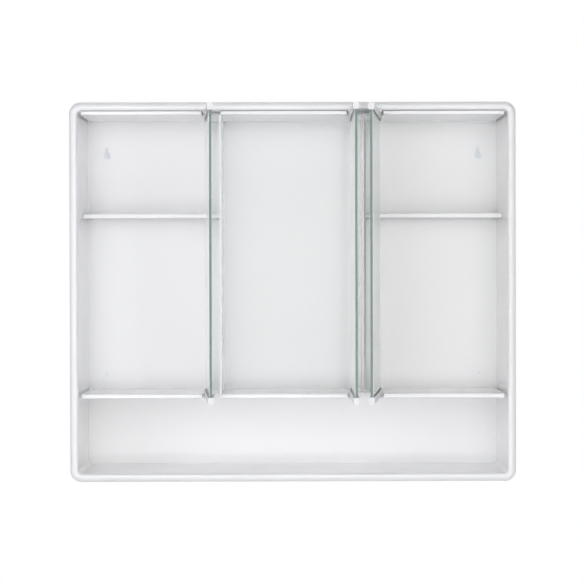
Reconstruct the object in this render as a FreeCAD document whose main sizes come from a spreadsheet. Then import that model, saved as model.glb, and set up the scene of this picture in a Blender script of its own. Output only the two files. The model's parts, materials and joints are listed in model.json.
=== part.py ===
import FreeCAD, Part
import math
import os
import re

import Sketcher

# Three-door mirror cabinet of moulded plastic, in millimetres.
# X runs to the right, Y into the wall and Z up. The origin is the middle of the wall plane.
# The doors are drawn standing open, each turned about its own pivot.

SIZES = {
    # case, outside
    "cabinet_width": 590,
    "cabinet_height": 502,
    "cabinet_depth": 150,
    "corner_radius": 15,
    "bead_width": 11,
    "bead_depth": 9,
    "bead_outer_round": 6.5,
    "bead_inner_round": 4,
    "opening_corner": 5,
    "tub_wall": 3,
    "skirt_wall": 2.5,
    "back_panel": 3,
    "rib_sheet": 2,
    "rib_setback": 4,
    # wall holes: offset from the side walls, height and drop from the middle of the cabinet
    "wall_hole_offset": 26,
    "keyhole_height": 188,
    "keyhole_radius": 5,
    "keyhole_slot": 4.6,
    "keyhole_rise": 9,
    "screw_hole_drop": 115,
    "screw_hole_radius": 2.5,
    # rail under the roof and ledge above the tray
    "rail_drop": 5.1,
    "rail_beam": 4.8,
    "tray_height": 104.6,
    "ledge_beam": 5.8,
    "panel_sheet": 2.5,
    "front_round": 1.2,
    "panel_end_gap": 0.4,
    "panel_back_gap": 0.3,
    "beam_wall": 8,
    "stud_spread": 190,
    "stud_inset": 20,
    "stud_radius": 3,
    "stud_shoulder": 5,
    "stud_gap": 0.1,
    "cleat_reach": 8,
    "cleat_thickness": 3.3,
    "cleat_peg_radius": 2.5,
    "cleat_peg_gap": 0.1,
    "cleat_peg_inset": 14,
    # dividers and shelves
    "divider_offset": 96,
    "divider_sheet": 2.4,
    "divider_setback": 3,
    "divider_top_gap": 0.2,
    "tab_length": 18,
    "tab_inset": 12,
    "tab_gap": 0.15,
    "shelf_rise": 240.9,
    "shelf_depth": 76,
    "shelf_lip": 6.3,
    "shelf_lip_sheet": 3,
    "shelf_gap": 0.4,
    "peg_radius": 1.9,
    "peg_reach": 8,
    "peg_inset": 12,
    "peg_gap": 0.05,
    # doors
    "door_setback": 3,
    "door_back_gap": 0.8,
    "door_gap": 2,
    "door_side_gap": 3,
    "rail_overlap": 2,
    "ledge_overlap": 3.4,
    "pivot_inset": 16.5,
    "strip_depth": 7.2,
    "strip_height": 9,
    "strip_slot": 5,
    "strip_end": 1.5,
    "strip_round": 1.6,
    "gasket_wall": 0.6,
    "gasket_proud": 1.6,
    "glass_sheet": 3,
    "glass_bevel": 0.4,
    "backing_sheet": 0.3,
    "left_open_angle": 93.7,
    "middle_open_angle": 89.9,
    "right_open_angle": 95.5,
    # hinges
    "pin_radius": 2,
    "pin_grip": 3.4,
    "pin_press_gap": 0.02,
    "pin_running_gap": 0.05,
    "tongue_gap": 0.5,
    "tongue_sheet": 2.4,
    "tongue_reach": 5,
    "tail_gap": 1.5,
    "seat_width": 12.5,
    "seat_shift": 1.5,
    "seat_depth": 14,
    "spigot_radius": 1.2,
    "spigot_length": 5,
    "spigot_gap": 0.05,
    "notch_side": 7,
    "notch_past": 1,
    # how far a cutting shape runs past the face that it opens
    "cut_past": 1,
}

RIBS_ACROSS = 6
RIBS_UP = 5

doc = FreeCAD.newDocument("mirror_cabinet")
sheet = doc.addObject("Spreadsheet::Sheet", "sizes")
for row, (word, size) in enumerate(SIZES.items(), start=1):
    sheet.set(f"A{row}", word)
    sheet.set(f"B{row}", str(size))
    sheet.setAlias(f"B{row}", word)
doc.recompute()

# Places that several pieces share, each worked out from the sizes above.
side = "(cabinet_width / 2 - bead_width)"
roof = "(cabinet_height / 2 - bead_width)"
floor = f"(-{roof})"
back = "(-back_panel)"
panel_back = f"({back} - panel_back_gap)"
corner_left = "max(opening_corner - rail_drop + rail_beam; 0)"
corner_reach = f"(opening_corner - sqrt(opening_corner ^ 2 - {corner_left} ^ 2))"
panel_end = f"({side} - {corner_reach} - panel_end_gap)"
rail_under = f"({roof} - rail_drop)"
rail_top = f"({rail_under} + rail_beam)"
ledge_top = f"({floor} + tray_height)"
ledge_under = f"({ledge_top} - ledge_beam)"
pivot_y = "(door_setback + strip_depth / 2 - cabinet_depth)"
rail_front = f"({pivot_y} + strip_depth / 2 + door_back_gap)"
tail_sweep = "sqrt(pivot_inset * pivot_inset + strip_depth * strip_depth / 4)"
seat_front = f"({pivot_y} + {tail_sweep} + tail_gap)"
notch_back = f"({seat_front} + seat_depth)"
beam_back = f"({notch_back} + beam_wall)"
door_top = f"({rail_under} + rail_overlap)"
door_bottom = f"({ledge_top} - ledge_overlap)"
upper_tongue = (f"({door_top} + tongue_gap)", f"({door_top} + tongue_gap + tongue_sheet)")
lower_tongue = (f"({door_bottom} - tongue_gap - tongue_sheet)", f"({door_bottom} - tongue_gap)")
shelf_top = f"({ledge_top} + shelf_rise)"
shelf_front = f"({panel_back} - shelf_depth)"
peg_height = f"({shelf_top} - panel_sheet - peg_radius - peg_gap)"
tab_spans = (
    (f"({beam_back} + tab_inset)", f"({beam_back} + tab_inset + tab_length)"),
    (f"({panel_back} - tab_inset - tab_length)", f"({panel_back} - tab_inset)"),
)

# Each door: where its pivot is, its width, its open angle, and which way along X the tail points.
side_door_width = f"({side} - door_side_gap - divider_offset - door_gap / 2)"
DOORS = {
    "left": ("(-(divider_offset + door_gap / 2 + pivot_inset))", side_door_width, "left_open_angle", 1),
    "middle": ("(divider_offset - door_gap / 2 - pivot_inset)", "(2 * divider_offset - door_gap)",
               "middle_open_angle", 1),
    "right": ("(divider_offset + door_gap / 2 + pivot_inset)", side_door_width, "right_open_angle", -1),
}
pivot_x = {name: door[0] for name, door in DOORS.items()}

sub_parts = []


def formula(text):
    """Give the text with each size's word pointing at its cell."""
    return re.sub(r"[a-z_]+", lambda word: f"sizes.{word[0]}" if word[0] in SIZES else word[0], text)


def number(text):
    """Give the present value of a formula."""
    return float(sheet.evalExpression(formula(text)))


def bind(thing, **formulas):
    """Bind properties to formulas. A double underscore in a name stands for a dot."""
    for name, text in formulas.items():
        thing.setExpression(name.replace("__", "."), formula(text))


def place(thing, x="0", y="0", z="0"):
    bind(thing, Placement__Base__x=x, Placement__Base__y=y, Placement__Base__z=z)


def box(name, x, y, z):
    """A block between two formulas along each axis."""
    block = doc.addObject("Part::Box", name)
    bind(block, Length=f"{x[1]} - {x[0]}", Width=f"{y[1]} - {y[0]}", Height=f"{z[1]} - {z[0]}")
    place(block, x[0], y[0], z[0])
    return block


def rod(name, radius, length, start, along="z"):
    """A round bar from a start point, running along +X, +Y or +Z."""
    turns = {
        "x": FreeCAD.Rotation(FreeCAD.Vector(0, 1, 0), 90),
        "y": FreeCAD.Rotation(FreeCAD.Vector(1, 0, 0), -90),
        "z": FreeCAD.Rotation(),
    }
    bar = doc.addObject("Part::Cylinder", name)
    bar.Placement = FreeCAD.Placement(FreeCAD.Vector(), turns[along])
    bind(bar, Radius=radius, Height=length)
    place(bar, *start)
    return bar


def fuse(name, shapes):
    if len(shapes) == 1:
        return shapes[0]
    joined = doc.addObject("Part::MultiFuse", name)
    joined.Shapes = shapes
    return joined


def cut(name, base, tools):
    trimmed = doc.addObject("Part::Cut", name)
    trimmed.Base = base
    trimmed.Tool = fuse(f"{name}_tools", tools)
    return trimmed


def ease_edges(kind, name, base, size, wanted):
    """Fillet or chamfer the edges of a base whose middle point passes the test."""
    doc.recompute()
    eased = doc.addObject(f"Part::{kind}", name)
    eased.Base = base
    amount = number(size)
    eased.Edges = [
        (count, amount, amount)
        for count, edge in enumerate(base.Shape.Edges, start=1)
        if wanted(edge.CenterOfMass)
    ]
    return eased


def ease_front(kind, block, size, front):
    """Fillet or chamfer the edges around the front face of a block."""
    place_of_front = number(front)
    return ease_edges(kind, f"{block.Name}_eased", block, size,
                      lambda point: abs(point.y - place_of_front) < 0.001)


def finish(label, thing):
    """Keep a finished shape as a sub-part under its own name."""
    thing.Label = label
    sub_parts.append(thing)


def spread(*offsets):
    """Give each offset on the left and on the right of the middle."""
    return [f"({sign}{offset})" for offset in offsets for sign in ("-", "")]


# Case: a padded block with a rolled front bead, a tub sunk from the front and a hollow ring behind.

def add_rounded_rectangle(sketch, width, height, radius, word):
    """Draw a centred rounded rectangle and bind its width, height and corner radius."""
    corner = number(radius)
    half_width = number(width) / 2
    half_height = number(height) / 2
    first_arc = sketch.GeometryCount
    signs = ((1, 1), (-1, 1), (-1, -1), (1, -1))
    arcs = []
    for quarter, (right, up) in enumerate(signs):
        centre = FreeCAD.Vector(right * (half_width - corner), up * (half_height - corner), 0)
        circle = Part.Circle(centre, FreeCAD.Vector(0, 0, 1), corner)
        arcs.append(Part.ArcOfCircle(circle, quarter * math.pi / 2, (quarter + 1) * math.pi / 2))
    sketch.addGeometry(arcs)
    sketch.addGeometry([Part.LineSegment(arcs[i].EndPoint, arcs[(i + 1) % 4].StartPoint) for i in range(4)])
    first_line = first_arc + 4
    for i in range(4):
        sketch.addConstraint(Sketcher.Constraint("Tangent", first_arc + i, 2, first_line + i, 1))
        sketch.addConstraint(Sketcher.Constraint("Tangent", first_line + i, 2, first_arc + (i + 1) % 4, 1))
        sketch.addConstraint(Sketcher.Constraint(("Horizontal", "Vertical")[i % 2], first_line + i))
    for i in range(1, 4):
        sketch.addConstraint(Sketcher.Constraint("Equal", first_arc, first_arc + i))
    sketch.addConstraint(Sketcher.Constraint("Symmetric", first_arc, 3, first_arc + 2, 3, -1, 1))
    sizes = {
        "radius": (("Radius", first_arc, corner), radius),
        "width": (("DistanceX", first_line + 1, 1, first_line + 3, 1, 2 * half_width), width),
        "height": (("DistanceY", first_line + 2, 1, first_line, 1, 2 * half_height), height),
    }
    for size, (constraint, text) in sizes.items():
        index = sketch.addConstraint(Sketcher.Constraint(*constraint))
        sketch.renameConstraint(index, f"{word}_{size}")
        sketch.setExpression(f"Constraints.{word}_{size}", formula(text))


def wall_sketch(body, name, depth):
    """A sketch parallel to the wall, at a depth in front of it."""
    plane = next(item for item in body.Origin.OriginFeatures if item.Role == "XZ_Plane")
    sketch = body.newObject("Sketcher::SketchObject", name)
    sketch.AttachmentSupport = [(plane, "")]
    sketch.MapMode = "FlatFace"
    bind(sketch, AttachmentOffset__Base__z=depth)
    return sketch


def round_front_edges(body, base, name, radius, wanted):
    """Round the front edges of the case that pass the test."""
    doc.recompute()
    front = -number("cabinet_depth")
    edges = [
        f"Edge{count}"
        for count, edge in enumerate(base.Shape.Edges, start=1)
        if all(abs(vertex.Y - front) < 0.001 for vertex in edge.Vertexes) and wanted(edge.CenterOfMass)
    ]
    rounded = body.newObject("PartDesign::Fillet", name)
    rounded.Base = (base, edges)
    bind(rounded, Radius=radius)
    return rounded


def pocket(body, name, sketch, length):
    """Sink a sketch's outline towards the front, away from the wall."""
    sunk = body.newObject("PartDesign::Pocket", name)
    sunk.Profile = sketch
    sunk.Reversed = True
    bind(sunk, Length=length)
    return sunk


def make_tub():
    body = doc.addObject("PartDesign::Body", "tub")
    outline = wall_sketch(body, "outline", "0")
    add_rounded_rectangle(outline, "cabinet_width", "cabinet_height", "corner_radius", "outer")
    block = body.newObject("PartDesign::Pad", "block")
    block.Profile = outline
    bind(block, Length="cabinet_depth")
    round_front_edges(body, block, "bead_roll", "bead_outer_round", lambda point: True)
    opening = wall_sketch(body, "opening", "back_panel")
    add_rounded_rectangle(opening, f"2 * {side}", f"2 * {roof}", "opening_corner", "inner")
    inside = pocket(body, "inside", opening, "cabinet_depth")
    round_front_edges(
        body, inside, "bead_inner_roll", "bead_inner_round",
        lambda point: abs(point.x) <= number(side) + 0.001 and abs(point.z) <= number(roof) + 0.001)
    ring = wall_sketch(body, "ring", "0")
    add_rounded_rectangle(
        ring, "cabinet_width - 2 * skirt_wall", "cabinet_height - 2 * skirt_wall",
        "corner_radius - skirt_wall", "skirt")
    add_rounded_rectangle(
        ring, f"2 * {side} + 2 * tub_wall", f"2 * {roof} + 2 * tub_wall",
        "opening_corner + tub_wall", "wall")
    pocket(body, "hollow", ring, "cabinet_depth - bead_depth")
    return body


def wall_holes():
    """Two keyholes above and two plain screw holes below, all through the back panel."""
    holes = []
    through = "back_panel + 2 * cut_past"
    start = f"({back} - cut_past)"
    slot_top = "(keyhole_height + keyhole_rise)"
    for count, x in enumerate(spread(f"({side} - wall_hole_offset)")):
        rounds = {
            "keyhole_round": ("keyhole_radius", "keyhole_height"),
            "keyhole_end": ("keyhole_slot / 2", slot_top),
            "screw_hole": ("screw_hole_radius", "(-screw_hole_drop)"),
        }
        for name, (radius, height) in rounds.items():
            holes.append(rod(f"{name}_{count}", radius, through, (x, start, height), "y"))
        holes.append(box(
            f"keyhole_slot_{count}", (f"({x} - keyhole_slot / 2)", f"({x} + keyhole_slot / 2)"),
            (start, "cut_past"), ("keyhole_height", slot_top)))
    return holes


def stud_places():
    rows = (f"({beam_back} + stud_inset)", f"({panel_back} - stud_inset)")
    return [(x, y) for y in rows for x in ("(-stud_spread)", "0", "stud_spread")]


def cleat_peg_places():
    rows = (f"({beam_back} + cleat_peg_inset)", f"({panel_back} - cleat_peg_inset)")
    return [(x, y) for y in rows for x in spread(f"({side} - cleat_reach / 2)")]


def shelf_peg_rows():
    return (f"({shelf_front} + shelf_lip_sheet + peg_inset)", f"({panel_back} - peg_inset)")


def evenly(length, count):
    """Even places along a length that is centred on the middle of the cabinet."""
    return [f"({length} * {step} / {count + 1} - {length} / 2)" for step in range(1, count + 1)]


def hollow_ribs():
    """Ribs that tie the tub to the skirt across the hollow, behind the bead."""
    ribs = []
    deep = ("(bead_depth - cabinet_depth - cut_past)", "(-rib_setback)")
    inner_x = f"({side} + tub_wall / 2)"
    outer_x = "(cabinet_width / 2 - skirt_wall / 2)"
    inner_z = f"({roof} + tub_wall / 2)"
    outer_z = "(cabinet_height / 2 - skirt_wall / 2)"
    for count, x in enumerate(evenly("cabinet_width", RIBS_ACROSS)):
        across = (f"({x} - rib_sheet / 2)", f"({x} + rib_sheet / 2)")
        ribs.append(box(f"roof_rib_{count}", across, deep, (inner_z, outer_z)))
        ribs.append(box(f"floor_rib_{count}", across, deep, (f"(-{outer_z})", f"(-{inner_z})")))
    for count, z in enumerate(evenly("cabinet_height", RIBS_UP)):
        tall = (f"({z} - rib_sheet / 2)", f"({z} + rib_sheet / 2)")
        ribs.append(box(f"left_rib_{count}", (f"(-{outer_x})", f"(-{inner_x})"), deep, tall))
        ribs.append(box(f"right_rib_{count}", (inner_x, outer_x), deep, tall))
    return ribs


def make_shell():
    cleat_top = f"({ledge_top} - panel_sheet)"
    cleats = []
    for name, low, high in (
            ("left_cleat", f"(-{side} - cut_past)", f"(-{side} + cleat_reach)"),
            ("right_cleat", f"({side} - cleat_reach)", f"({side} + cut_past)")):
        cleats.append(box(name, (low, high), (beam_back, f"({back} + cut_past)"),
                          (f"({cleat_top} - cleat_thickness)", cleat_top)))
    for count, (x, y) in enumerate(cleat_peg_places()):
        cleats.append(rod(f"cleat_peg_{count}", "cleat_peg_radius", "panel_sheet",
                          (x, y, f"({cleat_top} - cut_past)")))
    whole = fuse("tub_with_ribs", [make_tub()] + cleats + hollow_ribs())
    holes = wall_holes()
    for count, (x, y) in enumerate(stud_places()):
        holes.append(rod(f"stud_hole_{count}", "stud_radius + stud_gap", "tub_wall + 2 * cut_past",
                         (x, y, f"({roof} - cut_past)")))
    for row, y in enumerate(shelf_peg_rows()):
        for hand, x in enumerate((f"(-{side} - tub_wall - cut_past)", f"({side} - cut_past)")):
            holes.append(rod(f"wall_peg_hole_{row}_{hand}", "peg_radius + peg_gap",
                             "tub_wall + 2 * cut_past", (x, y, peg_height), "x"))
    finish("cabinet_shell", cut("shell", whole, holes))


# Rail and ledge: panels with a thick front beam, notched where the doors' tails swing in.

def notches(word, low, high):
    """One notch at the left door's hinge, and a double one that the other two doors share."""
    spans = {
        "single": (f"({pivot_x['left']} - notch_side)", "(notch_past - divider_offset)"),
        "double": (f"({pivot_x['middle']} - notch_side)", f"({pivot_x['right']} + notch_side)"),
    }
    deep = (f"({rail_front} - cut_past)", notch_back)
    tall = (f"({low} - cut_past)", f"({high} + cut_past)")
    return [box(f"{word}_{name}_notch", span, deep, tall) for name, span in spans.items()]


def seat_middle(door):
    toward = "+" if DOORS[door][3] > 0 else "-"
    return f"({pivot_x[door]} {toward} seat_shift)"


def spigot_holes(word, height):
    return [
        rod(f"{word}_{door}_spigot_hole", "spigot_radius + spigot_gap", "spigot_length + cut_past",
            (seat_middle(door), f"({notch_back} - cut_past)", height), "y")
        for door in DOORS
    ]


def tab_slots(word, low, high):
    """Slots through a panel for the dividers' tabs."""
    slots = []
    for hand, x in enumerate(spread("divider_offset")):
        across = (f"({x} - divider_sheet / 2 - tab_gap)", f"({x} + divider_sheet / 2 + tab_gap)")
        for count, (start, end) in enumerate(tab_spans):
            deep = (f"({start} - tab_gap)", f"({end} + tab_gap)")
            slots.append(box(f"{word}_slot_{hand}_{count}", across, deep,
                             (f"({low} - cut_past)", f"({high} + cut_past)")))
    return slots


def panel(word, beam, sheet_span):
    """A thin panel between the side walls with a thicker beam along its front."""
    across = (f"(-{panel_end})", panel_end)
    front = box(f"{word}_beam", across, (rail_front, beam_back), beam)
    rear = box(f"{word}_sheet", across, (beam_back, panel_back), sheet_span)
    return [ease_front("Fillet", front, "front_round", rail_front), rear]


def make_top_rail():
    sheet_top = f"({rail_under} + panel_sheet)"
    pieces = panel("rail", (rail_under, rail_top), (rail_under, sheet_top))
    to_roof = f"{roof} - {rail_under}"
    for count, (x, y) in enumerate(stud_places()):
        foot = (x, y, rail_under)
        pieces.append(rod(f"stud_shoulder_{count}", "stud_shoulder", to_roof, foot))
        pieces.append(rod(f"stud_{count}", "stud_radius", f"{to_roof} + tub_wall", foot))
    tools = notches("rail", rail_under, rail_top)
    tools += spigot_holes("rail", f"({rail_under} + rail_beam / 2)")
    tools += tab_slots("rail", rail_under, sheet_top)
    finish("top_rail", cut("rail", fuse("rail_whole", pieces), tools))


def make_door_ledge():
    sheet_under = f"({ledge_top} - panel_sheet)"
    pieces = panel("ledge", (ledge_under, ledge_top), (sheet_under, ledge_top))
    tools = notches("ledge", ledge_under, ledge_top)
    tools += spigot_holes("ledge", f"({ledge_top} - ledge_beam / 2)")
    tools += tab_slots("ledge", sheet_under, ledge_top)
    for count, (x, y) in enumerate(cleat_peg_places()):
        tools.append(rod(f"ledge_peg_hole_{count}", "cleat_peg_radius + cleat_peg_gap",
                         "panel_sheet + 2 * cut_past", (x, y, f"({sheet_under} - cut_past)")))
    finish("door_ledge", cut("ledge", fuse("ledge_whole", pieces), tools))


# Dividers, shelves and the pegs that carry the shelves.

def make_divider(hand, x):
    across = (f"({x} - divider_sheet / 2)", f"({x} + divider_sheet / 2)")
    deep = (f"({rail_front} + divider_setback)", back)
    pieces = [box(f"{hand}_divider_panel", across, deep, (ledge_top, f"({rail_under} - divider_top_gap)"))]
    for count, span in enumerate(tab_spans):
        pieces.append(box(f"{hand}_divider_tabs_{count}", across, span,
                          (f"({ledge_top} - panel_sheet)", f"({rail_under} + panel_sheet)")))
    holes = [
        rod(f"{hand}_divider_peg_hole_{row}", "peg_radius + peg_gap", "divider_sheet + 2 * cut_past",
            (f"({across[0]} - cut_past)", y, peg_height), "x")
        for row, y in enumerate(shelf_peg_rows())
    ]
    finish(f"{hand}_divider", cut(f"{hand}_divider_cut", fuse(f"{hand}_divider_whole", pieces), holes))


def make_shelf(hand, low, high):
    """A shelf with a front lip between a side wall and a divider, on four pegs."""
    across = (f"({low} + shelf_gap)", f"({high} - shelf_gap)")
    lip_back = f"({shelf_front} + shelf_lip_sheet)"
    plate = box(f"{hand}_shelf_plate", across, (lip_back, panel_back),
                (f"({shelf_top} - panel_sheet)", shelf_top))
    lip = box(f"{hand}_shelf_front", across, (shelf_front, lip_back),
              (f"({shelf_top} - shelf_lip)", shelf_top))
    rounded = ease_front("Fillet", lip, "front_round", shelf_front)
    finish(f"{hand}_shelf", fuse(f"{hand}_shelf_whole", [plate, rounded]))


def make_shelf_pegs(hand, starts, plugs):
    """Round pegs plugged into the wall and the divider, reaching in under the shelf."""
    pegs = [
        rod(f"{hand}_peg_{row}_{end}", "peg_radius", f"{plugs[end]} + peg_reach",
            (starts[end], y, peg_height), "x")
        for row, y in enumerate(shelf_peg_rows())
        for end in range(2)
    ]
    group = doc.addObject("Part::Compound", f"{hand}_pegs")
    group.Links = pegs
    finish(f"{hand}_shelf_pegs", group)


def make_inside():
    for hand, x in (("left", "(-divider_offset)"), ("right", "divider_offset")):
        make_divider(hand, x)
    inner_face = "(divider_offset - divider_sheet / 2)"
    outer_face = "(divider_offset + divider_sheet / 2)"
    make_shelf("left", f"(-{side})", f"(-{outer_face})")
    make_shelf("right", outer_face, side)
    left_starts = (f"(-{side} - tub_wall)", f"(-{outer_face} - peg_reach)")
    right_starts = (inner_face, f"({side} - peg_reach)")
    make_shelf_pegs("left", left_starts, ("tub_wall", "divider_sheet"))
    make_shelf_pegs("right", right_starts, ("divider_sheet", "tub_wall"))


# Hinge seats: a block at the back of each notch with a tongue that holds the door's pin.

def make_seat(door, level, tongue, block_span, spigot_height):
    middle = seat_middle(door)
    across = (f"({middle} - seat_width / 2)", f"({middle} + seat_width / 2)")
    word = f"{door}_{level}_seat"
    pieces = [
        box(f"{word}_block", across, (seat_front, notch_back), block_span),
        box(f"{word}_tongue", across, (f"({pivot_y} - tongue_reach)", seat_front), tongue),
        rod(f"{word}_spigot", "spigot_radius", "seat_depth / 2 + spigot_length",
            (middle, f"({notch_back} - seat_depth / 2)", spigot_height), "y"),
    ]
    hole = rod(f"{word}_pin_hole", "pin_radius + pin_running_gap", "tongue_sheet + 2 * cut_past",
               (pivot_x[door], pivot_y, f"({tongue[0]} - cut_past)"))
    finish(f"{door}_{level}_hinge_seat", cut(f"{word}_cut", fuse(f"{word}_whole", pieces), [hole]))


# Doors: each is drawn shut about its pivot at the origin, then turned to its open angle.

def hang(door, label, shut):
    """Carry a piece that is drawn shut to its pivot, turned open."""
    pivot, _, angle, toward = DOORS[door]
    sign = "" if toward > 0 else "-"
    hung = doc.addObject("Part::Compound", f"{door}_{label}_hung")
    hung.Links = [shut]
    hung.Placement.Rotation = FreeCAD.Rotation(FreeCAD.Vector(0, 0, 1), toward * number(angle))
    place(hung, pivot, pivot_y)
    bind(hung, Placement__Rotation__Angle=f"{sign}{angle}")
    finish(f"{door}_{label}", hung)


def door_span(door):
    """Where the door starts and ends along X, seen from its pivot, when it is shut."""
    _, width, _, toward = DOORS[door]
    if toward > 0:
        return f"(pivot_inset - {width})", "pivot_inset"
    return "(-pivot_inset)", f"({width} - pivot_inset)"


def make_strip(door, level, outer, inner, slot_end, pin_start):
    """An edge strip with closed ends, slotted for the gasket and bored for the pin."""
    low, high = door_span(door)
    word = f"{door}_{level}_strip"
    tall = sorted((outer, inner), key=number)
    slot = sorted((inner, slot_end), key=number)
    bar = box(f"{word}_bar", (low, high), ("(-strip_depth / 2)", "(strip_depth / 2)"), tall)
    outer_height = number(outer)
    rounded = ease_edges("Fillet", f"{word}_rounded", bar, "strip_round",
                         lambda point: abs(point.z - outer_height) < 0.001 and abs(point.y) > 0.001)
    tools = [
        box(f"{word}_slot", (f"({low} + strip_end)", f"({high} - strip_end)"),
            (f"(-{door_stack} / 2 - gasket_wall)", f"({door_stack} / 2 + gasket_wall)"), slot),
        rod(f"{word}_bore", "pin_radius + pin_press_gap", "pin_grip", ("0", "0", pin_start)),
    ]
    hang(door, f"{level}_strip", cut(f"{word}_cut", rounded, tools))


def make_gasket(door, level, slot_end, proud_end, glass_end):
    """A U-shaped channel between the strip's slot and the edge of the glass."""
    low, high = door_span(door)
    word = f"{door}_{level}_gasket"
    along = (f"({low} + strip_end)", f"({high} - strip_end)")
    across = (f"(-{door_stack} / 2 - gasket_wall)", f"({door_stack} / 2 + gasket_wall)")
    outside = box(f"{word}_bar", along, across, sorted((slot_end, proud_end), key=number))
    groove = box(f"{word}_groove", along, (f"(-{door_stack} / 2)", f"({door_stack} / 2)"),
                 sorted((glass_end, proud_end), key=number))
    hang(door, f"{level}_gasket", cut(f"{word}_cut", outside, [groove]))


door_stack = "(glass_sheet + backing_sheet)"
top_slot_end = f"({door_top} - strip_height + strip_slot)"
bottom_slot_end = f"({door_bottom} + strip_height - strip_slot)"
glass_top = f"({top_slot_end} - gasket_wall)"
glass_bottom = f"({bottom_slot_end} + gasket_wall)"


def make_door(door):
    low, high = door_span(door)
    along = (f"({low} + strip_end)", f"({high} - strip_end)")
    tall = (glass_bottom, glass_top)
    glass_back = f"({door_stack} / 2 - backing_sheet)"
    glass_front = f"(-{door_stack} / 2)"
    glass = box(f"{door}_glass", along, (glass_front, glass_back), tall)
    hang(door, "mirror_glass", ease_front("Chamfer", glass, "glass_bevel", glass_front))
    hang(door, "mirror_backing", box(f"{door}_backing", along, (glass_back, f"({door_stack} / 2)"), tall))
    top_inner = f"({door_top} - strip_height)"
    bottom_inner = f"({door_bottom} + strip_height)"
    make_strip(door, "top", door_top, top_inner, top_slot_end, f"({door_top} - pin_grip)")
    make_strip(door, "bottom", door_bottom, bottom_inner, bottom_slot_end, door_bottom)
    make_gasket(door, "top", top_slot_end, f"({top_inner} - gasket_proud)", glass_top)
    make_gasket(door, "bottom", bottom_slot_end, f"({bottom_inner} + gasket_proud)", glass_bottom)
    pin_length = "pin_grip + tongue_gap + tongue_sheet"
    for level, start in (("upper", f"({door_top} - pin_grip)"), ("lower", lower_tongue[0])):
        pin = rod(f"{door}_{level}_pin", "pin_radius", pin_length, ("0", "0", start))
        hang(door, f"{level}_pivot_pin", pin)


make_shell()
make_top_rail()
make_door_ledge()
make_inside()
for door_name in DOORS:
    make_seat(door_name, "upper", upper_tongue, (rail_under, upper_tongue[1]),
              f"({rail_under} + rail_beam / 2)")
    make_seat(door_name, "lower", lower_tongue, (lower_tongue[0], ledge_top),
              f"({ledge_top} - ledge_beam / 2)")
    make_door(door_name)
doc.recompute()

for thing in doc.Objects:
    if "Invalid" in thing.State or "Error" in thing.State:
        raise RuntimeError(f"{thing.Name} did not build: {thing.State}")
for thing in sub_parts:
    if thing.Shape.isNull() or not thing.Shape.isValid():
        raise RuntimeError(f"{thing.Label} has no valid shape")

os.makedirs("parts", exist_ok=True)
for thing in sub_parts:
    thing.Shape.exportStep(f"parts/{thing.Label}.step")
    print(thing.Label, len(thing.Shape.Solids), round(thing.Shape.Volume, 1))
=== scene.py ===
# %% [markdown]
# A wall cabinet with three mirror doors, moulded from white polystyrene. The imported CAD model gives
# every piece at its real size and place, in metres: X runs to the right, Y into the wall and Z up.
# This lesson dresses that model: camera, studio, finishes, and the mirror panes modelled anew with
# their ground edges.

# %% Load the frame
import json
import math

import bpy
from mathutils import Matrix, Vector


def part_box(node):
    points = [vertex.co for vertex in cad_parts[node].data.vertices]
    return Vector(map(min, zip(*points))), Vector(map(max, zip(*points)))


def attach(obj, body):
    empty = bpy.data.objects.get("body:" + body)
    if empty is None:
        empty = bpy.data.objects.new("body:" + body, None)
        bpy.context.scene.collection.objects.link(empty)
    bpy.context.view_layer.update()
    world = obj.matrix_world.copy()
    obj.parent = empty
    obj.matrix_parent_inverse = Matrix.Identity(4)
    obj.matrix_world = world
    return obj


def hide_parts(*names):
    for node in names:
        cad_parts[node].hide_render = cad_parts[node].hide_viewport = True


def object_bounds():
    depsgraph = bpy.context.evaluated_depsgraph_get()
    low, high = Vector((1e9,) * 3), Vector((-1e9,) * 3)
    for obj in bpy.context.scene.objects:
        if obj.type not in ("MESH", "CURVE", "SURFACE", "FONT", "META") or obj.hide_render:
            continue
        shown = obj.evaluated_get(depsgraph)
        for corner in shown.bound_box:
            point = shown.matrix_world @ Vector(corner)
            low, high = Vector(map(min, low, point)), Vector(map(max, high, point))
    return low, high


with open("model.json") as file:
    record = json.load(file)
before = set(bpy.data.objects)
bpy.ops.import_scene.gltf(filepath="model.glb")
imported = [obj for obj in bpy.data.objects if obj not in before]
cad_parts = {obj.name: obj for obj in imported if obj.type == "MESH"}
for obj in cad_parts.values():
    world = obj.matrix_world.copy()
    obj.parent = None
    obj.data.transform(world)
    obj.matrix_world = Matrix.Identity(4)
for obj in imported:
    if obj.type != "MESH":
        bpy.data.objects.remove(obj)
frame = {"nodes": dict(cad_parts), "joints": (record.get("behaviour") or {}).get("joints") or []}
nodes = frame["nodes"]
cad_low, cad_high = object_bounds()
MM = 0.001

# %% [markdown]
# The photograph looks almost straight at the cabinet with a long lens from under three metres away, a
# little above its middle. Lines that run straight into the wall meet at one pixel, the vanishing
# point. A camera aimed squarely at the wall would have it in the middle of the picture, so the camera
# is turned by as much as that pixel is off centre.

# %% Camera
PICTURE_PIXELS = 584
VANISHING_PIXEL = (287.5, 272.2)
MM_PER_PIXEL = 1.3195
CAMERA_DISTANCE = 2.68
CAMERA_ASIDE = -7 * MM
CAMERA_ABOVE = 26 * MM
CAMERA_ROLL = math.radians(0.14)

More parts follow.
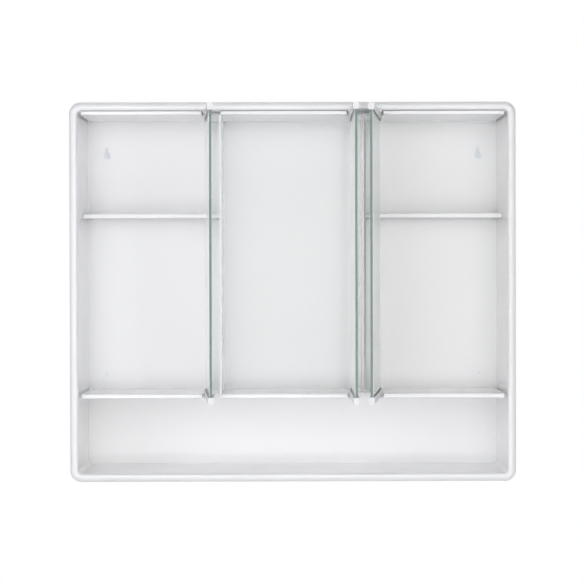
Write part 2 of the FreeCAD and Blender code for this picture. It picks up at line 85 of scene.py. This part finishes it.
scene = bpy.context.scene
cabinet_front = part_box("cabinet_shell")[0].y
camera_data = bpy.data.cameras.new("product_camera")
camera = bpy.data.objects.new("product_camera", camera_data)
scene.collection.objects.link(camera)
camera.location = (CAMERA_ASIDE, cabinet_front - CAMERA_DISTANCE, CAMERA_ABOVE)
turn_right, turn_down = (
    math.atan((PICTURE_PIXELS / 2 - pixel) * MM_PER_PIXEL * MM / CAMERA_DISTANCE)
    for pixel in VANISHING_PIXEL)
camera.rotation_euler = (math.pi / 2 - turn_down, CAMERA_ROLL, -turn_right)
camera_data.lens = camera_data.sensor_width * CAMERA_DISTANCE / (PICTURE_PIXELS * MM_PER_PIXEL * MM)
scene.camera = camera
print("lens", round(camera_data.lens, 1), "mm, turned down", round(math.degrees(turn_down), 2), "degrees")

# %% [markdown]
# Every colour below is written as the hex value that a colour picker shows. Shaders work with linear
# light, so one function turns hex into linear values. A second one adds a shader node with its
# settings and links. A few short ones built on it make the parts that materials share: a noise, a
# spread of values, a mix of two colours and a blend of two shaders.

# %% Colours and nodes
def linear(hex_colour):
    """Turn an sRGB hex colour into linear red, green, blue and alpha."""
    channels = [int(hex_colour[start:start + 2], 16) / 255 for start in (1, 3, 5)]
    return tuple(c / 12.92 if c <= 0.04045 else ((c + 0.055) / 1.055) ** 2.4 for c in channels) + (1.0,)


def add_node(tree, kind, values=None, links=None, **settings):
    """Add a node, set its properties and input values, and link its inputs to other nodes' outputs."""
    node = tree.nodes.new(kind)
    for name, value in settings.items():
        setattr(node, name, value)
    for name, value in (values or {}).items():
        node.inputs[name].default_value = value
    for name, output in (links or {}).items():
        tree.links.new(output, node.inputs[name])
    return node


def new_tree(name):
    """Start a material with an empty node tree and give both."""
    material = bpy.data.materials.new(name)
    material.use_nodes = True
    material.node_tree.nodes.clear()
    return material, material.node_tree


def object_place(tree):
    """The place on the piece, in metres."""
    return add_node(tree, "ShaderNodeTexCoord").outputs["Object"]


def noise(tree, place, size_mm, detail, distortion=0.0):
    """A noise from nought to one whose patches are about as wide as the size."""
    return add_node(tree, "ShaderNodeTexNoise", links={"Vector": place},
                    values={"Scale": 1 / (size_mm * MM), "Detail": detail,
                            "Distortion": distortion}).outputs[0]


def noise_lines(tree, spacing_mm, upright_scale):
    """A noise drawn out along the piece's height, so that it makes fine upright lines."""
    along = add_node(tree, "ShaderNodeMapping", values={"Scale": (1.0, 1.0, upright_scale)},
                     links={"Vector": object_place(tree)})
    return noise(tree, along.outputs[0], size_mm=spacing_mm, detail=2.0)


def spread(tree, value, first, last, start=0.0, end=1.0, **settings):
    """A value that runs from start to end, turned into one that runs from first to last."""
    return add_node(tree, "ShaderNodeMapRange", links={"Value": value},
                    values={"From Min": start, "From Max": end, "To Min": first, "To Max": last},
                    **settings).outputs[0]


def two_tones(tree, share, dark, light):
    """A colour between a dark and a light tone."""
    mix = add_node(tree, "ShaderNodeMix", data_type="RGBA", links={0: share})
    mix.inputs[6].default_value = linear(dark)
    mix.inputs[7].default_value = linear(light)
    return mix.outputs[2]


def blended(tree, share, first, second):
    """Blend two shaders: a share of nought shows the first, a share of one the second."""
    return add_node(tree, "ShaderNodeMixShader",
                    links={0: share, 1: first.outputs[0], 2: second.outputs[0]})


def surface(tree, shader):
    """Make a shader the surface of its material."""
    add_node(tree, "ShaderNodeOutputMaterial", links={"Surface": shader.outputs[0]})


def looked_at_rays(tree):
    """One for the rays that make something seen: from the camera, off a gloss or through a glass."""
    ray = add_node(tree, "ShaderNodeLightPath")
    direct = add_node(tree, "ShaderNodeMath", operation="MAXIMUM",
                      links={0: ray.outputs["Is Camera Ray"], 1: ray.outputs["Is Glossy Ray"]})
    return add_node(tree, "ShaderNodeMath", operation="MAXIMUM",
                    links={0: direct.outputs[0], 1: ray.outputs["Is Transmission Ray"]}).outputs[0]


print("white is", linear("#FFFFFF"))

# %% [markdown]
# The picture has a plain white background. The world is white to the camera and to reflections, and
# gives a softer light to everything else, so that the white plastic keeps its shading. Towards the
# zenith and below the horizon it turns pale grey: a mirror then shows a soft gradient, as it does in
# a studio.

# %% World
AMBIENT = 0.10
GREY_FROM_STEEPNESS = 0.25
ZENITH_STRENGTH = 0.72

scene.view_settings.view_transform = "Standard"
world = bpy.data.worlds.new("white_studio")
scene.world = world
world.use_nodes = True
sky = world.node_tree
sky.nodes.clear()
direction = add_node(sky, "ShaderNodeTexCoord")
height = add_node(sky, "ShaderNodeSeparateXYZ", links={0: direction.outputs["Generated"]})
steepness = add_node(sky, "ShaderNodeMath", links={0: height.outputs["Z"]}, operation="ABSOLUTE")
gradient = spread(sky, steepness.outputs[0], first=1.0, last=ZENITH_STRENGTH, start=GREY_FROM_STEEPNESS)
seen = add_node(sky, "ShaderNodeBackground", values={"Color": linear("#FFFFFF")},
                links={"Strength": gradient})
soft = add_node(sky, "ShaderNodeBackground", values={"Color": linear("#FCFCFF"), "Strength": AMBIENT})
either = blended(sky, looked_at_rays(sky), soft, seen)
add_node(sky, "ShaderNodeOutputWorld", links={"Surface": either.outputs[0]})
print("ambient light", AMBIENT)

# %% [markdown]
# The floor lies well below the cabinet, because the cabinet hangs at head height. It is matt white,
# keeps a soft shadow in the middle, and fades into the white background towards its rim, so that no
# edge shows from any side.

# %% Floor
FLOOR_DROP = 0.40
FLOOR_WIDTH = 5.0
FADE_FROM = 0.6
FADE_TO = 1.5
WHITE_IN_MIDDLE = 0.6
PAPER_TONES = (0.76, 0.80)
PAPER_FIBRE_MM = 6

bpy.ops.object.select_all(action="DESELECT")
bpy.ops.mesh.primitive_plane_add(size=FLOOR_WIDTH, location=(0, 0, cad_low.z - FLOOR_DROP))
floor = bpy.context.object
floor.name = "studio_floor"
paper, tree = new_tree("matt_white_paper")
place = object_place(tree)
away = add_node(tree, "ShaderNodeVectorMath", links={0: place}, operation="LENGTH")
fade = spread(tree, away.outputs["Value"], first=WHITE_IN_MIDDLE, last=1.0, start=FADE_FROM, end=FADE_TO,
              interpolation_type="SMOOTHSTEP")
tone = spread(tree, noise(tree, place, size_mm=PAPER_FIBRE_MM, detail=3.0), *PAPER_TONES)
matt = add_node(tree, "ShaderNodeBsdfDiffuse", links={"Color": tone})
white = add_node(tree, "ShaderNodeEmission", values={"Color": linear("#FFFFFF"), "Strength": 1.0})
shown = add_node(tree, "ShaderNodeMath", operation="MULTIPLY", links={0: fade, 1: looked_at_rays(tree)})
surface(tree, blended(tree, shown.outputs[0], matt, white))
floor.data.materials.append(paper)
print("floor at", round(floor.location.z, 3))

# %% [markdown]
# Through the keyholes and screw holes the wall shows. A small board stands in for it just behind the
# cabinet. Its rear side is clear, so that it never hides the back of the cabinet.

# %% Wall board
BOARD_GAP = 0.3 * MM
BOARD_SIZE = (0.54, 0.40)
UPRIGHT = (math.radians(90), 0, 0)

bpy.ops.object.select_all(action="DESELECT")
bpy.ops.mesh.primitive_plane_add(size=1.0, location=(0, cad_high.y + BOARD_GAP, 0), rotation=UPRIGHT)
board = bpy.context.object
board.name = "wall_board"
board.scale = (*BOARD_SIZE, 1.0)
plaster, tree = new_tree("painted_wall")
side_seen = add_node(tree, "ShaderNodeNewGeometry")
paint = add_node(tree, "ShaderNodeBsdfDiffuse", values={"Color": linear("#EEF1F8")})
clear = add_node(tree, "ShaderNodeBsdfTransparent")
surface(tree, blended(tree, side_seen.outputs["Backfacing"], paint, clear))
board.data.materials.append(plaster)
board.visible_shadow = False
board.visible_diffuse = False
board.visible_glossy = False
print("board at", round(board.location.y, 4))

# %% [markdown]
# Large soft boxes light the cabinet, as in a product studio. One stands in front, one at each side
# with the left one stronger, one low that reaches the ceilings of the compartments, and a weak one
# high that reaches the tray. Three more light the top, the back and the right side. They are left out
# of reflections, because a glossy top that mirrors a lamp would vanish against the white background.
# Tall strip lights nearer than the camera show as soft upright bands in the glossy panels, and a
# lying one shows in the tray. Places and sizes are in metres and powers in watts.

# %% Lamps
CABINET_MIDDLE = (0.0, -0.08, 0.0)
STRIP_POWERS = {-0.39: 0.5, -0.24: 0.55, -0.10: 0.3, 0.11: 0.7, 0.22: 0.3, 0.36: 0.5}
STRIP_SIZE = (0.09, 0.86)
STRIP_HEIGHT = 0.18
STRIP_FRONT = -2.0


def soft_box(name, place, size, power, aim=CABINET_MIDDLE, colour="#FFFFFF", reflected=True):
    """A rectangular area lamp at a place, turned to its aim. Gloss mirrors it if it is reflected."""
    lamp = bpy.data.lights.new(name, "AREA")
    lamp.shape = "RECTANGLE"
    lamp.size, lamp.size_y = size
    lamp.energy = power
    lamp.color = linear(colour)[:3]
    box = bpy.data.objects.new(name, lamp)
    scene.collection.objects.link(box)
    box.location = place
    box.rotation_euler = (Vector(aim) - Vector(place)).to_track_quat("-Z", "Y").to_euler()
    box.visible_camera = False
    box.visible_glossy = reflected


soft_box("front_soft_box", place=(0.0, -1.10, 0.08), size=(1.1, 0.9), power=4.8, aim=(0.0, 0.0, 0.08))
soft_box("left_soft_box", place=(-1.7, -1.5, 0.2), size=(1.2, 1.8), power=11, colour="#F3F3FF")
soft_box("right_soft_box", place=(1.7, -1.5, 0.2), size=(1.2, 1.8), power=5)
soft_box("low_soft_box", place=(0.0, -1.25, -0.85), size=(1.3, 0.5), power=12)
soft_box("top_soft_box", place=(0.0, -1.4, 1.6), size=(1.8, 1.2), power=2.5)
soft_box("overhead_soft_box", place=(0.0, 1.0, 1.9), size=(1.8, 1.2), power=24, reflected=False)
soft_box("back_soft_box", place=(0.0, 2.2, 0.6), size=(2.0, 1.6), power=14, reflected=False)
soft_box("right_rear_soft_box", place=(1.9, 1.0, 0.5), size=(1.2, 1.4), power=9, reflected=False)
soft_box("tray_strip_lamp", place=(0.0, STRIP_FRONT, -0.36), size=(0.86, 0.24), power=1.2,
         aim=(0.0, 0.0, -0.36))
for number, (across, power) in enumerate(STRIP_POWERS.items(), start=1):
    soft_box(f"strip_lamp_{number}", place=(across, STRIP_FRONT, STRIP_HEIGHT), size=STRIP_SIZE,
             power=power, aim=(across, 0.0, STRIP_HEIGHT))
print("lamps", [lamp.name for lamp in bpy.data.lights])

# %% [markdown]
# The case, rail, ledge, dividers and shelves are injection-moulded polystyrene. The mould was
# polished, so the skin is glossy with a faint orange peel a few millimetres wide, and the pigment
# flows in broad, barely visible clouds. A noise at each of those two sizes gives both. The door
# strips, hinge seats and pegs are moulded too, each with its own fineness. The seats and pegs have
# their own tones. The strips are the same white made greyer: painted shade that keeps their forward
# ends as dim as the case.

# %% Moulded plastics
GLOSS_VARIATION = 0.15


def moulded_plastic(name, light, dark, roughness, ior, cloud_mm=90, peel_mm=5, peel_height_mm=0.0015):
    """Glossy moulded plastic: broad clouds of pigment and a fine orange peel."""
    material, tree = new_tree(name)
    place = object_place(tree)
    cloud = noise(tree, place, size_mm=cloud_mm, detail=3.0)
    colour = two_tones(tree, cloud, dark, light)
    gloss = spread(tree, cloud, roughness * (1 - GLOSS_VARIATION), roughness * (1 + GLOSS_VARIATION))
    peel = noise(tree, place, size_mm=peel_mm, detail=1.0)
    bump = add_node(tree, "ShaderNodeBump", links={"Height": peel},
                    values={"Distance": peel_height_mm * MM, "Strength": 1.0})
    shader = add_node(tree, "ShaderNodeBsdfPrincipled", values={"IOR": ior},
                      links={"Base Color": colour, "Roughness": gloss, "Normal": bump.outputs[0]})
    surface(tree, shader)
    return material


case_plastic = moulded_plastic("white_polystyrene_case", "#FAFAFA", "#F8F8F9", roughness=0.15, ior=1.59)
panel_plastic = moulded_plastic("white_polystyrene_panel", "#F9F9FA", "#F7F7F8", roughness=0.13, ior=1.59,
                                cloud_mm=70)
# Painted shade: the door strips are the case's white made greyer, so that their forward ends look as dim
# as the case.
strip_plastic_painted_shade = moulded_plastic("white_polystyrene_strip_painted_shade", "#DCDCE0", "#D6D6DB", roughness=0.25, ior=1.59,
                                cloud_mm=25, peel_mm=2)
seat_plastic = moulded_plastic("white_acetal", "#F0F0F1", "#EAEAEC", roughness=0.35, ior=1.48,
                               cloud_mm=8, peel_mm=1.2)
peg_plastic = moulded_plastic("white_nylon", "#E2E2DF", "#DADAD6", roughness=0.45, ior=1.53,
                              cloud_mm=6, peel_mm=0.8)
print("plastics", case_plastic.name, panel_plastic.name, strip_plastic_painted_shade.name)

# %% [markdown]
# The doors are float glass, silvered on the back. Seen from the front the silver is a bright, faintly
# green mirror with a very slight haze. The cut edge is ground: light that has run through the
# iron-tinted glass comes out green, and the wheel leaves fine lines along the edge. The back is
# covered with pale protective paint. The paint is glossy, so at a grazing angle it mirrors the
# shelves beside it.

# %% Mirror, glass edge, paint, gasket with painted shade, and steel
def mirror_silver():
    """Silver seen through float glass, with a faint haze from wiping."""
    material, tree = new_tree("silvered_float_glass")
    haze = noise(tree, object_place(tree), size_mm=60, detail=4.0, distortion=1.5)
    shader = add_node(tree, "ShaderNodeBsdfPrincipled",
                      values={"Base Color": linear("#F3F7F5"), "Metallic": 1.0},
                      links={"Roughness": spread(tree, haze, first=0.012, last=0.035)})
    surface(tree, shader)
    return material


def ground_glass_edge():
    """The ground edge of float glass: green, with fine wheel lines along it."""
    material, tree = new_tree("ground_glass_edge")
    lines = noise_lines(tree, spacing_mm=0.5, upright_scale=0.02)
    shader = add_node(tree, "ShaderNodeBsdfPrincipled", values={"IOR": 1.52},
                      links={"Base Color": two_tones(tree, lines, "#4A665B", "#6A887B"),
                             "Roughness": spread(tree, lines, first=0.15, last=0.32)})
    surface(tree, shader)
    return material


def drawn_steel():
    """Steel wire drawn through a die: fine lines along the pin."""
    material, tree = new_tree("drawn_steel")
    lines = noise_lines(tree, spacing_mm=0.3, upright_scale=0.03)
    shader = add_node(tree, "ShaderNodeBsdfPrincipled",
                      values={"Base Color": linear("#C4C6C8"), "Metallic": 1.0},
                      links={"Roughness": spread(tree, lines, first=0.22, last=0.42)})
    surface(tree, shader)
    return material


silver = mirror_silver()
glass_edge = ground_glass_edge()
steel = drawn_steel()
back_paint = moulded_plastic("gloss_mirror_back_paint", "#F8FAF9", "#F3F6F4", roughness=0.07, ior=1.5,
                             cloud_mm=14, peel_mm=4, peel_height_mm=0.0008)
# The gaskets' dark grey is painted shade: it draws the thin shadow line along each door strip's edge on
# the glass.
gasket_painted_shade_vinyl = moulded_plastic("grey_vinyl_painted_shade", "#777D7B", "#6B716F", roughness=0.5, ior=1.54,
                               cloud_mm=10, peel_mm=0.8)
print("glass", silver.name, glass_edge.name)

# %% [markdown]
# Most CAD pieces already have the right shape, so they stay and only get a finish in their own
# material slots.

# %% Finishes on the CAD pieces
FINISHES = {
    "cabinet_shell": case_plastic,
    "top_rail": panel_plastic,
    "door_ledge": panel_plastic,
    "divider": panel_plastic,
    "shelf": panel_plastic,
    "shelf_pegs": peg_plastic,
    "hinge_seat": seat_plastic,
    "strip": strip_plastic_painted_shade,
    "gasket": gasket_painted_shade_vinyl,
    "pivot_pin": steel,
    "mirror_backing": back_paint,
}
for ending, material in FINISHES.items():
    for name, node in nodes.items():
        if name.endswith(ending):
            node.data.materials.clear()
            node.data.materials.append(material)
print("finished", sum(name.endswith(tuple(FINISHES)) for name in nodes), "pieces")

# %% [markdown]
# A mirror pane is cut from float glass and its edges are ground, with a small arris all round so that
# nobody is cut. It could stay a CAD block, but one block can't carry both silver and green edges. So
# each pane is modelled: a cube is scaled to the glass, its edges are bevelled, and the large front
# face gets the silver. It is drawn shut and then turned about its pivot to the open angle, and its
# place is applied to the mesh.

# %% Mirror panes
ARRIS = 0.5 * MM
FRONT_NORMAL_Y = -0.99


def door_turn(joint):
    """The turn that carries a shut door to the pose in which it is stored."""
    shut = math.radians(joint["range_deg"][0])
    pivot = Matrix.Translation(Vector(joint["pos_m"]))
    return pivot @ Matrix.Rotation(-shut, 4, Vector(joint["axis"])) @ pivot.inverted()


def shut_box(node, turn):
    """The lowest and highest corner of a door's piece when the door is shut."""
    corners = [turn.inverted() @ vertex.co for vertex in node.data.vertices]
    low = Vector([min(corner[axis] for corner in corners) for axis in range(3)])
    high = Vector([max(corner[axis] for corner in corners) for axis in range(3)])
    return low, high


def model_pane(joint):
    """One pane of silvered glass with ground edges, on its door's body."""
    door = joint["child"].removesuffix("_door")
    glass_node = f"{door}_mirror_glass"
    turn = door_turn(joint)
    low, high = shut_box(nodes[glass_node], turn)
    bpy.ops.object.select_all(action="DESELECT")
    bpy.ops.mesh.primitive_cube_add(size=1, location=(low + high) / 2)
    pane = bpy.context.object
    pane.name = f"{door}_mirror_pane"
    pane.scale = high - low
    bpy.ops.object.transform_apply(location=True, rotation=True, scale=True)
    pane.data.materials.append(glass_edge)
    pane.data.materials.append(silver)
    bpy.ops.object.mode_set(mode="EDIT")
    bpy.ops.mesh.select_all(action="SELECT")
    bpy.ops.mesh.bevel(offset=ARRIS, segments=2, profile=0.5)
    bpy.ops.object.mode_set(mode="OBJECT")
    for face in pane.data.polygons:
        face.material_index = int(face.normal.y < FRONT_NORMAL_Y)
    pane.matrix_world = turn
    bpy.ops.object.transform_apply(location=True, rotation=True, scale=True)
    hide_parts(glass_node)
    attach(pane, joint["child"])
    print(pane.name, [round(side / MM, 1) for side in high - low], "mm,", len(pane.data.polygons), "faces")


for joint in frame["joints"]:
    model_pane(joint)
